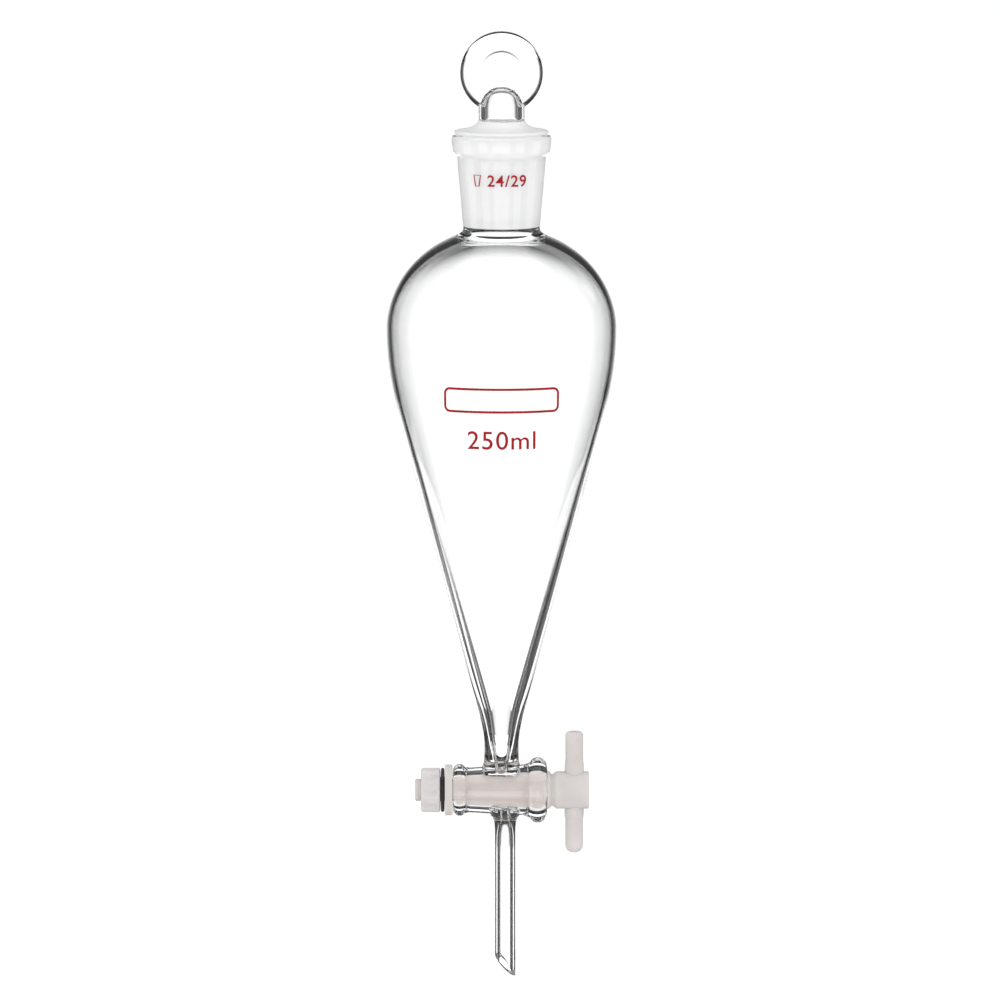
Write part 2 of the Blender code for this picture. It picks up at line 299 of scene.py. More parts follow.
def ptfe(name, dark, light, roughness, depth):
    """Waxy, slightly translucent fluoropolymer with turning marks."""
    made, tree, shader = nodes_of(name)
    mottled(tree, shader, dark, light, 160)
    sheen = spread(tree, noise(tree, 700), roughness - 0.06, roughness + 0.06)
    tree.links.new(sheen, shader.inputs["Roughness"])
    shader.inputs["IOR"].default_value = PTFE_IOR
    shader.inputs["Subsurface Weight"].default_value = 0.35
    shader.inputs["Subsurface Radius"].default_value = (1.0, 0.85, 0.75)
    shader.inputs["Subsurface Scale"].default_value = 0.0025
    bump(tree, shader, noise(tree, 900, 2.0, (4, 0.6, 0.6)), depth)
    return made


def rubber(name):
    """Dull black nitrile, a little dusty."""
    made, tree, shader = nodes_of(name)
    mottled(tree, shader, (0.012, 0.011, 0.011), (0.03, 0.027, 0.027), 900)
    tree.links.new(spread(tree, noise(tree, 1500), 0.42, 0.6), shader.inputs["Roughness"])
    bump(tree, shader, noise(tree, 2500), 0.00002)
    return made


def enamel(name):
    """Fired red print, a little uneven."""
    made, tree, shader = nodes_of(name)
    mottled(tree, shader, (0.30, 0.006, 0.011), (0.36, 0.009, 0.015), 1200)
    shader.inputs["Specular IOR Level"].default_value = 0.2
    tree.links.new(spread(tree, noise(tree, 2500), 0.35, 0.5), shader.inputs["Roughness"])
    bump(tree, shader, noise(tree, 3500), 0.00001)
    return made


def floor_paint():
    made, tree, shader = nodes_of("floor_paint")
    mottled(tree, shader, (0.94, 0.94, 0.94), (0.96, 0.96, 0.96), 3)
    shader.inputs["Roughness"].default_value = 0.9
    return made


GLASS = clear_glass("vessel_glass", 0.00001)
GROUND = frosted_glass("ground_glass", 0.92, 0.12, 0.5, 0.62, 0.00001)
PRESSED = clear_glass("pressed_glass", 0.000015)
SATIN = frosted_glass("satin_glass", 0.92, 0.3, 0.35, 0.45, 0.000008)
WHITE = ptfe("plug_ptfe", (0.54, 0.51, 0.495), (0.59, 0.56, 0.545), 0.42, 0.000012)
# Painted shade: the plug's own PTFE, a little darker and warmer, for where the glass barrel lies round it.
GLASS_SHADED_PTFE = ptfe("plug_ptfe_painted_glass_shade", (0.55, 0.49, 0.475), (0.60, 0.545, 0.53), 0.42, 0.000012)
WASHER_WHITE = ptfe("washer_ptfe", (0.535, 0.51, 0.49), (0.575, 0.55, 0.53), 0.45, 0.000012)
NUT_WHITE = ptfe("nut_plastic", (0.56, 0.535, 0.53), (0.61, 0.585, 0.58), 0.4, 0.000015)
RUBBER = rubber("black_rubber")
RED = enamel("red_enamel")

# ---------------------------------------------------------------- the glass vessel

# The bulb's crown is a half ellipse that stands on its widest ring, at BULB_Z. The glass is WALL
# thick at that ring and CROWN_WALL thick at the top of the ellipse.
WALL, CROWN_WALL = 1.8, 2.6
BULB_R = BULB_HIGH[0]
BULB_Z = 35.5
BULB_HEIGHT = 32.0
CONE_TOP = (28.6, -6.0)
CONE_TOP_BORE = 26.7
CONE_END = (7.9, -84.0)
CONE_END_BORE = 4.6
NECK_R, NECK_BORE = 12.0, 10.4
RIM_Z = SOCKET_HIGH[2]
COLLAR_R, COLLAR_FOOT = SOCKET_HIGH[0], 90.8
# A 24/29 joint: 24 mm across at its wide end, 29 mm long, narrowing by 1 in 10 across.
JOINT_R, JOINT_TAPER, JOINT_LENGTH = 12.0, 0.05, 29.0
JOINT_OUTER_TOP, JOINT_OUTER_FOOT = (13.7, 86.0), (12.35, 70.5)
STEM_R, STEM_BORE = 5.45, 1.5
DRIP_X = (DRIP_LOW[0] + DRIP_HIGH[0]) / 2
DRIP_R, DRIP_BORE, DRIP_ROOT_BORE = 3.3, 1.9, 1.1
# The slanted cut: its height on the tube's axis, and how it rises along X and Y.
TIP_Z, TIP_SLOPE = -168.1, (-1.0, 0.35)
# The tube is made this long before it is cut, and the space inside reaches above the mouth.
PAST_TIP, PAST_RIM = -175.0, RIM_Z + 4
BORE_LEFT, BORE_RIGHT = 4.5, 6.0
BARREL_R_LEFT, BARREL_R_RIGHT = 6.9, 8.5
# Each bead of the barrel: its crest's radius and the radius of its round edge.
LEFT_BEAD, RIGHT_BEAD = (8.3, 2.08), (10.45, 3.05)


def joint_radius(z):
    """The ground cone's radius, shared by socket and stopper."""
    return JOINT_R - JOINT_TAPER * (RIM_Z - z)


def barrel_radius(x):
    return between(x, BARREL_LOW[0], BARREL_HIGH[0], BARREL_R_LEFT, BARREL_R_RIGHT)


def barrel_bore(x):
    return between(x, BARREL_LOW[0], BARREL_HIGH[0], BORE_LEFT, BORE_RIGHT)


def cheek(top_r, cone_r, steps):
    """From the bulb's widest ring down to the straight cone."""
    slope = (CONE_TOP[0] - CONE_END[0]) / (CONE_TOP[1] - CONE_END[1])
    near_end = (cone_r + slope * 14.0, CONE_TOP[1] + 14.0)
    return bezier((top_r, BULB_Z), (top_r, BULB_Z - 16.0), near_end, (cone_r, CONE_TOP[1]), steps)


def vessel_outside():
    """Socket with its collar, neck, crown, cone and stem, down to the barrel's middle."""
    rim = [(0, RIM_Z), (COLLAR_R, RIM_Z), (COLLAR_R - 0.5, COLLAR_FOOT), (14.0, COLLAR_FOOT - 0.9)]
    outline = rounded(rim + [JOINT_OUTER_TOP], 1.3, 6)[:-1]
    outline += line(JOINT_OUTER_TOP, JOINT_OUTER_FOOT, 4)
    outline += bezier((12.25, 69.4), (12.1, 68.2), (NECK_R, 67.8), (NECK_R, 67.3), 3)
    outline += bezier((NECK_R, 67.2), (NECK_R, 65.9), (12.9, 65.5), (14.3, 64.9), 8)
    shoulder_r = 15.0
    shoulder = math.degrees(math.acos(shoulder_r / BULB_R))
    outline += arc((0, BULB_Z), (BULB_R, BULB_HEIGHT), shoulder, 0, 26)
    outline += cheek(BULB_R, CONE_TOP[0], 16)[1:]
    outline += line(CONE_TOP, CONE_END, 14)[1:]
    outline += bezier(CONE_END, (6.3, -90.0), (STEM_R, -93.5), (STEM_R, -97.5), 14)[1:]
    outline += bezier((STEM_R, -98.5), (STEM_R, -102.2), (5.5, -103.4), (6.6, -104.8), 10)
    return outline + [(7.0, -106.0), (0, -106.0)]


def vessel_inside():
    """The space inside, from above the mouth to the plug's axis."""
    mouth = [(0, PAST_RIM), (14, PAST_RIM), (joint_radius(RIM_Z) + 0.1, RIM_Z - 0.2)]
    outline = rounded(mouth + [(joint_radius(88), 88)], 0.7, 4)[:-1]
    foot_z = RIM_Z - JOINT_LENGTH + 0.5
    outline += line((joint_radius(92), 92), (joint_radius(foot_z), foot_z), 8)
    outline += bezier((NECK_BORE, foot_z - 0.4), (NECK_BORE, 63.4), (11.0, 62.6), (12.6, 62.0), 8)
    top_r, shoulder_r = BULB_R - WALL, 13.4
    shoulder = math.degrees(math.acos(shoulder_r / top_r))
    outline += arc((0, BULB_Z), (top_r, BULB_HEIGHT - CROWN_WALL), shoulder, 0, 26)
    outline += cheek(top_r, CONE_TOP_BORE, 16)[1:]
    outline += line((CONE_TOP_BORE, CONE_TOP[1]), (CONE_END_BORE, CONE_END[1]), 14)[1:]
    cone_foot = (CONE_END_BORE, CONE_END[1])
    outline += bezier(cone_foot, (2.9, -90.2), (2.9, -97.0), (STEM_BORE, -102.5), 12)[1:]
    return outline + [(STEM_BORE, AXIS_Z), (0, AXIS_Z)]


def bead(crest, edge, centre_x, start, end, steps):
    """A rolled bead of the barrel, whose angles are in degrees from +X, outwards."""
    return arc((crest - edge, centre_x), (edge, edge), 90 - start, 90 - end, steps)


def barrel_outside():
    """From the wide bead at the handle's end to the small one at the nut's end."""
    right_x = BARREL_HIGH[0] - RIGHT_BEAD[1]
    left_x = BARREL_LOW[0] + LEFT_BEAD[1]
    outline = [(0, BARREL_HIGH[0])]
    outline += bead(*RIGHT_BEAD, right_x, 0, 130, 18)
    outline += bezier((9.0, 8.9), (8.55, 8.4), (8.4, 7.8), (barrel_radius(6.4), 6.4), 6)
    outline += line((barrel_radius(5.5), 5.5), (barrel_radius(-8.6), -8.6), 8)
    outline += bezier((barrel_radius(-9.5), -9.5), (7.15, -10.6), (7.3, -11.2), (7.55, -11.75), 5)
    outline += bead(*LEFT_BEAD, left_x, 48, 180, 14)
    return outline + [(0, BARREL_LOW[0])]


def drip_outside():
    """The drip tube with its root in the barrel's underside."""
    outline = [(0, AXIS_Z - 5.6), (5.8, AXIS_Z - 5.6)]
    outline += bezier((5.2, AXIS_Z - 7.4), (4.3, -120.3), (3.5, -120.9), (DRIP_R + 0.1, -123.0), 10)
    outline += line((DRIP_R, -125.0), (DRIP_R, PAST_TIP), 10)
    return outline + [(0, PAST_TIP)]


def drip_inside():
    """The tube's bore, which opens from a narrow hole in the barrel's wall."""
    top = AXIS_Z - 4.0
    outline = [(0, top), (DRIP_ROOT_BORE, top)]
    root_end, root_out = (DRIP_ROOT_BORE, -119.6), (1.15, -123.0)
    outline += bezier(root_end, root_out, (DRIP_BORE, -123.6), (DRIP_BORE, -128.5), 12)
    outline += line((DRIP_BORE, -132.0), (DRIP_BORE, PAST_TIP - 3), 8)
    return outline + [(0, PAST_TIP - 3)]


def tip_block():
    """The space below the slanted, fire-polished cut of the drip tube."""
    half, depth = 12.0, 30.0
    builder = bmesh.new()
    bmesh.ops.create_cube(builder, size=1.0)
    for vertex in builder.verts:
        x, y = (2 * half * value for value in vertex.co[:2])
        top = TIP_Z + TIP_SLOPE[0] * x + TIP_SLOPE[1] * y
        z = top if vertex.co.z > 0 else TIP_Z - depth
        vertex.co = Vector((DRIP_X + x, y, z)) * MM
    return new_object("tip_block", mesh_from(builder, "tip_block"))


def plug_bore():
    """The barrel's tapered bore with its softened ends, running out past both of them."""
    right, left, past = BARREL_HIGH[0], BARREL_LOW[0], 5
    corners = [
        (barrel_bore(right) + 0.8, right + 1),
        (barrel_bore(right) + 0.05, right - 0.6),
        (barrel_bore(0), 0),
        (barrel_bore(left) + 0.02, left + 0.5),
        (barrel_bore(left) + 0.5, left - 0.5),
    ]
    outline = [(0, right + past), (barrel_bore(right) + 0.5, right + past)]
    outline += rounded(corners, 0.5, 3)
    return outline + [(barrel_bore(left) + 0.5, left - past), (0, left - past)]


def glass_vessel():
    """The five blown sections as the one piece of glass that they are sealed into."""
    at_drip = Matrix.Translation((DRIP_X, 0, 0))
    vessel = turned("glass_vessel", vessel_outside(), 192)
    combine(vessel, turned("barrel", barrel_outside(), 128, place=ALONG_X), "UNION")
    combine(vessel, turned("drip", drip_outside(), 96, place=at_drip), "UNION")
    combine(vessel, turned("drip_bore", drip_inside(), 64, place=at_drip), "DIFFERENCE")
    combine(vessel, turned("inside", vessel_inside(), 192), "DIFFERENCE")
    combine(vessel, turned("bore", plug_bore(), 96, place=ALONG_X), "DIFFERENCE")
    combine(vessel, tip_block(), "DIFFERENCE")
    ground_top, ground_foot = RIM_Z - 0.4, RIM_Z - JOINT_LENGTH + 0.4

    def look(centre, normal):
        radius = math.hypot(centre.x, centre.y)
        inside = ground_foot < centre.z < ground_top and radius < joint_radius(centre.z) + 0.15
        return 1 if inside else 0

    put_material(vessel, (GLASS, GROUND), look)
    finish_surface(vessel, 40)
    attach(vessel, "vessel")
    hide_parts("ground_joint_socket", "pear_bulb", "stem_tube", "stopcock_barrel", "drip_tube")


# ---------------------------------------------------------------- the stopper

# The grip is a disc, like a coin on edge; POST is the domed neck that carries it.
PENNY_R, PENNY_THICK, PENNY_EDGE, DISH = 12.85, 5.2, 1.9, 0.16
PENNY_Z = STOPPER_HIGH[2] - PENNY_R
POST_R, POST_BORE, POST_FOOT = 7.15, 5.2, 101.0
POST_TOP, HOLLOW_TOP = 111.5, 110.1
FLANGE_R, FLANGE_EDGE = STOPPER_HIGH[0], 0.55
FLANGE_Z = RIM_Z + 0.4
CONE_WALL = 2.2


def stopper_body():
    """Domed neck, sloping flange and ground cone."""
    end_z = STOPPER_LOW[2]
    dome = bezier((POST_R, 104.8), (6.95, 108.0), (4.7, POST_TOP), (0, POST_TOP), 18)
    outline = dome[::-1] + line((POST_R, 104.0), (POST_R, POST_FOOT), 3)
    outline += bezier((7.25, 100.6), (7.7, 99.3), (9.6, 98.3), (FLANGE_R - 0.9, 97.75), 10)
    outline += arc((FLANGE_R - FLANGE_EDGE, 97.15), (FLANGE_EDGE, FLANGE_EDGE), 75, -80, 8)
    outline += bezier((FLANGE_R - 0.9, FLANGE_Z), (12.9, FLANGE_Z), (11.95, FLANGE_Z), (11.8, 96.0), 5)
    fit = 0.18
    outline += line((joint_radius(95) - fit, 95), (joint_radius(end_z + 1) - fit, end_z + 1), 12)
    outline += bezier(
        (joint_radius(end_z + 0.8) - fit, end_z + 0.8),
        (joint_radius(end_z) - fit, end_z + 0.1),
        (joint_radius(end_z) - fit - 0.3, end_z),
        (joint_radius(end_z) - 1.2, end_z),
        4,
    )
    return outline + [(0, end_z)]


def stopper_hollow():
    """The space inside the neck and cone, open underneath."""
    end_z = STOPPER_LOW[2]
    wide = joint_radius(94.0) - CONE_WALL
    outline = bezier((POST_BORE, 104.6), (5.1, 107.6), (3.6, HOLLOW_TOP), (0, HOLLOW_TOP), 14)[::-1]
    outline += line((POST_BORE, 104.0), (POST_BORE, POST_FOOT), 3)
    outline += bezier((POST_BORE, 100.0), (5.4, 97.0), (wide, 98.0), (wide, 94.0), 12)
    outline += line((wide - 0.05, 93), (joint_radius(end_z + 1) - CONE_WALL, end_z + 1), 8)
    return outline + [(joint_radius(end_z) - 1.9, end_z - 1), (0, end_z - 1)]


def penny_head():
    """The round grip, with a shallow thumb dish in both faces."""
    half, edge = PENNY_THICK / 2, PENNY_EDGE
    front = line((0, half - DISH), (5.6, half - DISH), 4)
    front += bezier((6.0, half - DISH), (6.7, half - DISH), (6.7, half), (7.4, half), 10)
    front += line((8.2, half), (PENNY_R - edge - 0.3, half), 3)
    front += arc((PENNY_R - edge, half - edge), (edge, edge), 90, 0, 10)
    front += line((PENNY_R, half - edge - 0.1), (PENNY_R, 0), 2)
    outline = front + [(r, -z) for r, z in front[-2::-1]]
    upright = Matrix.Translation((0, 0, PENNY_Z)) @ Matrix.Rotation(math.pi / 2, 4, "X")
    return turned("penny_head", outline, 160, place=upright)


def text_mesh(words, height, spacing, weight=0.014):
    """Flat lettering as high as this in millimetres, centred, in the XY plane. The weight is an
    offset of the letters' outlines, in their own units."""
    curve = bpy.data.curves.new(words, "FONT")
    curve.body = words
    curve.space_character = spacing
    curve.offset = weight
    curve.resolution_u = 6
    obj = bpy.data.objects.new(words, curve)
    bpy.context.scene.collection.objects.link(obj)
    graph = bpy.context.evaluated_depsgraph_get()
    mesh = bpy.data.meshes.new_from_object(obj.evaluated_get(graph))
    bpy.data.objects.remove(obj, do_unlink=True)
    points = np.array([v.co[:] for v in mesh.vertices])
    low, high = points.min(axis=0), points.max(axis=0)
    scale = height / (high[1] - low[1])
    middle = (low + high) / 2
    mesh.transform(Matrix.Scale(scale, 4) @ Matrix.Translation((-middle[0], -middle[1], 0)))
    return mesh


def raised_size():
    """The joint size, raised on the back of the grip and seen through it in reverse."""
    flat = text_mesh("24/29", 3.4, 1.1, 0.0)
    depth, sunk = 0.45, 0.3
    builder = bmesh.new()
    builder.from_mesh(flat)
    bmesh.ops.remove_doubles(builder, verts=builder.verts[:], dist=1e-4)
    bmesh.ops.triangulate(builder, faces=builder.faces[:])
    bottom = builder.faces[:]
    top = bmesh.ops.extrude_face_region(builder, geom=bottom, use_keep_orig=True)["geom"]
    for vertex in (v for v in top if isinstance(v, bmesh.types.BMVert)):
        vertex.co.z += depth + sunk
    bmesh.ops.recalc_face_normals(builder, faces=builder.faces[:])
    mesh = mesh_from(builder, "raised_size")
    behind = Matrix.Translation((0, PENNY_THICK / 2 - DISH - sunk, PENNY_Z - 0.5))
    mesh.transform(behind @ Matrix.Rotation(math.pi, 4, "Z") @ Matrix.Rotation(math.pi / 2, 4, "X"))
    mesh.transform(Matrix.Scale(MM, 4))
    return new_object("raised_size", mesh)


def stopper():
    """Pressed glass: clear grip and neck, satin flange, ground cone."""
    body = turned("glass_stopper", stopper_body(), 160)
    combine(body, penny_head(), "UNION")
    combine(body, raised_size(), "UNION")
    combine(body, turned("hollow", stopper_hollow(), 128), "DIFFERENCE")
    cone_top, shoulder_top = FLANGE_Z - 0.3, 100.5

    def look(centre, normal):
        radius = math.hypot(centre.x, centre.y)
        outward = normal.x * centre.x + normal.y * centre.y > 0
        if centre.z < cone_top:
            return 1 if outward and radius > joint_radius(centre.z) - 0.5 else 0
        return 2 if centre.z < shoulder_top and (outward or radius > 8.5) else 0

    put_material(body, (PRESSED, GROUND, SATIN), look)
    finish_surface(body, 32)
    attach(body, "stopper")
    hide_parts("stopper")


# ---------------------------------------------------------------- the stopcock's loose pieces


HUB_R, HUB_LEFT, COLLAR_OF_PLUG = 5.95, 16.0, 6.15
HUB_RIGHT = PLUG_HIGH[0]
HANDLE_X, HANDLE_R, HANDLE_ROOT = 23.05, 2.8, 3.05
HANDLE_TOP, HANDLE_BOTTOM = PLUG_HIGH[2] - AXIS_Z, PLUG_LOW[2] - AXIS_Z
THREAD_R, THREAD_ROOT, THREAD_END, THREAD_PITCH = 4.2, 3.5, -24.6, 1.5
DOG_R, DOG_END = 3.5, PLUG_LOW[0]


def thread_height(z, angle):
    """How high the thread stands at a place on the axis and an angle round it: 0 root, 1 crest."""
    phase = (z / THREAD_PITCH - angle / (2 * math.pi)) % 1.0
    to_crest = 1 - 2 * abs(phase - 0.5)
    return min(1.0, max(0.0, 2.2 * to_crest - 0.6))


def tail_thread(r, z, angle):
    """The right-handed thread of the plug's tail, as a radius for turned()."""
    start, end, fade = THREAD_END, BARREL_LOW[0] - 0.3, 0.8
    if not start <= z <= end or r < THREAD_ROOT - 0.01:
        return r
    run_out = max(0.0, min(1.0, (z - start) / fade, (end - z) / fade))
    return THREAD_ROOT + (THREAD_R - THREAD_ROOT) * thread_height(z, angle) * run_out


def plug_outline():
    """Hub, tapered plug, tail and dog point, from the handle's end to the other."""
    right = BARREL_HIGH[0] + 0.25
    fit = 0.12
    taper_right = (barrel_bore(BARREL_HIGH[0] - 1) - fit, BARREL_HIGH[0] - 1)
    taper_left = (barrel_bore(BARREL_LOW[0] + 1) - fit, BARREL_LOW[0] + 1)
    corners = [
        (0, HUB_RIGHT),
        (HUB_R, HUB_RIGHT),
        (HUB_R, HUB_LEFT + 1.3),
        (HUB_R - 1.15, HUB_LEFT),
        (COLLAR_OF_PLUG, HUB_LEFT - 1.0),
        (COLLAR_OF_PLUG, right),
        (barrel_bore(BARREL_HIGH[0]) - fit, right - 0.3),
        taper_right,
    ]
    outline = rounded(corners, 0.45, 4)[:-1]
    outline += line(taper_right, taper_left, 12)
    outline += [(THREAD_ROOT, BARREL_LOW[0] - 0.1)]
    outline += line((THREAD_ROOT, BARREL_LOW[0] - 0.2), (THREAD_ROOT, THREAD_END), 90)
    outline += rounded([(DOG_R, THREAD_END - 0.3), (DOG_R, DOG_END), (0, DOG_END)], 0.6, 5)
    return outline


def handle_outline():
    """The T handle: one upright bar through the hub, a little thicker close to it."""
    step = HUB_R + 2.6
    top = [(0, HANDLE_TOP), (HANDLE_R, HANDLE_TOP), (HANDLE_R, step + 0.8), (HANDLE_ROOT, step - 0.2)]
    top += [(HANDLE_ROOT, 0)]
    outline = rounded(top, 1.1, 7)[:-1]
    bottom = [(HANDLE_ROOT, 0), (HANDLE_ROOT, -step + 0.2), (HANDLE_R, -step - 0.4)]
    outline += rounded(bottom + [(HANDLE_R, HANDLE_BOTTOM + 4)], 0.5, 3)[1:]
    outline += bezier(
        (HANDLE_R, HANDLE_BOTTOM + 2.4),
        (HANDLE_R, HANDLE_BOTTOM + 0.9),
        (HANDLE_R - 1.1, HANDLE_BOTTOM),
        (0, HANDLE_BOTTOM),
        10,
    )
    return outline


def stopcock_plug():
    """One piece of PTFE, with painted shade: a little darker, warmer copy of its colour where the glass
    barrel lies round it.
    """
    plug = turned("ptfe_plug", plug_outline(), 96, shape=tail_thread, place=ALONG_X)
    at_handle = Matrix.Translation((HANDLE_X, 0, AXIS_Z))
    combine(plug, turned("bar", handle_outline(), 72, place=at_handle), "UNION")
    flow_r, top, bottom = 1.25, AXIS_Z + 9, AXIS_Z - 9
    flow = [(0, top), (flow_r, top), (flow_r, bottom), (0, bottom)]
    combine(plug, turned("flow", flow, 40), "DIFFERENCE")

    def look(centre, normal):
        # Faces inside the barrel get the painted shade of the glass round them.
        return 1 if BARREL_LOW[0] < centre.x < BARREL_HIGH[0] else 0

    put_material(plug, (WHITE, GLASS_SHADED_PTFE), look)
    finish_surface(plug, 30)
    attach(plug, "plug")
    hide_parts("stopcock_plug")


def ring_piece(name, node, look, inner, round_edge, low, high, crown=0.0):
    """A washer or seal on the tail, from its CAD node's own size."""
    left, right, outer = low[0], high[0], high[2] - AXIS_Z
    middle = (left + right) / 2
    corners = [(inner, middle), (inner, right), (outer - crown, right), (outer, middle)]
    corners += [(outer - crown, left), (inner, left), (inner, middle)]
    outline = rounded(corners, round_edge, 5)
    piece = turned(name, outline[:-1], 96, ring=True, place=ALONG_X)
    piece.data.materials.append(look)
    finish_surface(piece, 35)
    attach(piece, "seals")
    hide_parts(node)


def lobed_nut():
    """The nut: fluted round its outside up to a plain flange, with a threaded hole."""
    left, right, outer = NUT_LOW[0], NUT_HIGH[0], NUT_HIGH[2] - AXIS_Z
    lobes, flute, phase = 8, 0.75, math.radians(18.5)
    hole, thread_depth, plain_end = THREAD_R + 0.12, 0.55, 0.6

    def shape(r, z, angle):
        if r < hole + 0.2:
            if left + plain_end < z < right - plain_end:
                return hole - thread_depth * (1 - thread_height(z, angle))
            return r
        if r < outer - 1.3:
            return r
        groove = (0.5 - 0.5 * math.cos(lobes * (angle - phase))) ** 2.2
        depth = min(1.0, max(0.0, (right - 0.9 - z) / 0.5))
        return r - flute * groove * depth

    outline = [(outer - 1.2, right), (outer - 0.3, right), (outer, right - 0.2), (outer, right - 0.7)]
    outline = bezier(*outline, 5)
    outline += line((outer, right - 0.8), (outer, left + 0.9), 14)
    outline += bezier((outer, left + 0.8), (outer, left + 0.3), (outer - 0.3, left), (outer - 1.0, left), 5)
    outline += [(hole + 0.7, left), (hole + 0.35, left + 0.1)]
    outline += line((hole, left + 0.5), (hole, right - 0.5), 60)
    outline += [(hole + 0.5, right)]
    piece = turned("lobed_nut", outline, 128, ring=True, shape=shape, place=ALONG_X)
    piece.data.materials.append(NUT_WHITE)
    finish_surface(piece, 40)
    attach(piece, "nut")
    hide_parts("nut")


# ---------------------------------------------------------------- prints on the glass


def wrap_print(mesh, name, centre_z, radius_at):
    """Bends flat artwork round the vessel's front and gives it the thickness of enamel."""
    lift_off, thickness, step = 0.015, 0.06, 0.5
    builder = bmesh.new()
    builder.from_mesh(mesh)
    xs = [v.co.x for v in builder.verts]
    x = math.floor(min(xs))
    while x < max(xs):
        geometry = builder.verts[:] + builder.edges[:] + builder.faces[:]
        bmesh.ops.bisect_plane(builder, geom=geometry, plane_co=(x, 0, 0), plane_no=(1, 0, 0))
        x += step
    bmesh.ops.triangulate(builder, faces=builder.faces[:])
    bmesh.ops.remove_doubles(builder, verts=builder.verts[:], dist=1e-4)
    extruded = bmesh.ops.extrude_face_region(builder, geom=builder.faces[:])
    lifted = {v for v in extruded["geom"] if isinstance(v, bmesh.types.BMVert)}
    for vertex in builder.verts:
        z = centre_z + vertex.co.y
        radius = radius_at(z) + lift_off + (thickness if vertex in lifted else 0)
        angle = vertex.co.x / radius_at(z)
        vertex.co = Vector((radius * math.sin(angle), -radius * math.cos(angle), z)) * MM
    bmesh.ops.recalc_face_normals(builder, faces=builder.faces[:])
    piece = new_object(name, mesh_from(builder, name), RED)
    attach(piece, "vessel")
    return piece


def profile_radius(outline):
    """The outside radius of a turned outline as a function of height."""
    heights = np.array([z for r, z in outline if r > 0])[::-1]
    radii = np.array([r for r, z in outline if r > 0])[::-1]
    order = np.argsort(heights, kind="stable")
    return lambda z: float(np.interp(z, heights[order], radii[order]))


def strip(points, width):
    """A flat band of one width along a closed path of points, in the XY plane."""
    inner, outer = [], []
    count = len(points)
    for i, point in enumerate(points):
        ahead, behind = Vector(points[(i + 1) % count]), Vector(points[i - 1])
        along = (ahead - behind).normalized()
        side = Vector((-along.y, along.x)) * width / 2
        inner.append(Vector(point) + side)
        outer.append(Vector(point) - side)
    mesh = bpy.data.meshes.new("strip")
    faces = [(i, (i + 1) % count, count + (i + 1) % count, count + i) for i in range(count)]
    mesh.from_pydata([(p.x, p.y, 0) for p in inner + outer], [], faces)
    return mesh


def rounded_box(width, height, corner, steps=6):
    """A closed path round a rectangle with round corners."""
    points = []
    for k, (sx, sy) in enumerate(((1, 1), (-1, 1), (-1, -1), (1, -1))):
        centre = (sx * (width / 2 - corner), sy * (height / 2 - corner))
        points += arc(centre, (corner, corner), 90 * k, 90 * k + 90, steps)
    return points


def prints():
    """Joint size with a small outline of a taper, writing field and capacity, in red enamel."""
    outside = profile_radius(vessel_outside())
    joint_z, field_z, capacity_z = 82.9, 17.0, 4.3
    size_mark = text_mesh("24/29", 3.7, 1.12)
    size_mark.transform(Matrix.Translation((1.8, 0, 0)))
    left, right, half_height, lean = -9.2, -6.8, 1.7, 0.55
    taper = [(right, half_height), (right - lean, -half_height)]
    taper += [(left + lean, -half_height), (left, half_height)]
    artwork = (
        ("joint_size_print", size_mark, joint_z),
        ("taper_mark_print", strip(taper, 0.45), joint_z),
        ("capacity_print", text_mesh("250ml", 5.9, 1.08, 0.004), capacity_z),
        ("marking_field_print", strip(rounded_box(36.4, 7.2, 1.6), 0.75), field_z),
    )
    for name, mesh, centre_z in artwork:
        wrap_print(mesh, name, centre_z, outside)


# ---------------------------------------------------------------- studio


def math_node(tree, operation, *values):
    node = tree.nodes.new("ShaderNodeMath")
    node.operation = operation
    for socket, value in zip(node.inputs, values):
        if isinstance(value, (int, float)):
            socket.default_value = value
        else:
            tree.links.new(value, socket)
    return node.outputs[0]


def ramp(tree, value, start, end):
    """0 before start, 1 after end, smooth between; start may lie above end."""
    node = tree.nodes.new("ShaderNodeMapRange")
    node.interpolation_type = "SMOOTHSTEP"
    node.inputs["From Min"].default_value = start
    node.inputs["From Max"].default_value = end
    tree.links.new(value, node.inputs["Value"])
    return node.outputs["Result"]


def stops(tree, value, full, steps):
    """Brightness read along a value that runs from 0 to full, from (place, brightness) pairs."""
    node = tree.nodes.new("ShaderNodeValToRGB")
    tree.links.new(math_node(tree, "DIVIDE", value, full), node.inputs["Fac"])
    elements = node.color_ramp.elements
    while len(elements) < len(steps):
        elements.new(0.5)
    for element, (place, level) in zip(elements, steps):
        element.position = place / full
        element.color = (level, level, level, 1)
    return node.outputs["Color"]


def product(tree, first, *others):
    for other in others:
        first = math_node(tree, "MULTIPLY", first, other)
    return first


def total(tree, first, *others):
    for other in others:
        first = math_node(tree, "ADD", first, other)
    return first


def band(tree, value, low, high, soft):
    """1 between low and high, fading to 0 over a soft edge outside them."""
    return product(tree, ramp(tree, value, low - soft, low), ramp(tree, value, high + soft, high))


def emitter(tree, strength):
    """White light, with a number or a node's output for its strength."""
    node = tree.nodes.new("ShaderNodeBackground")
    node.inputs["Color"].default_value = (1, 1, 1, 1)
    if isinstance(strength, float):
        node.inputs["Strength"].default_value = strength
    else:
        tree.links.new(strength, node.inputs["Strength"])
    return node.outputs["Background"]


def chosen(tree, factor, off, on):
    """One light where the factor is 0 and another where it is 1."""
    node = tree.nodes.new("ShaderNodeMixShader")
    tree.links.new(factor, node.inputs["Fac"])
    tree.links.new(off, node.inputs[1])
    tree.links.new(on, node.inputs[2])
    return node.outputs["Shader"]


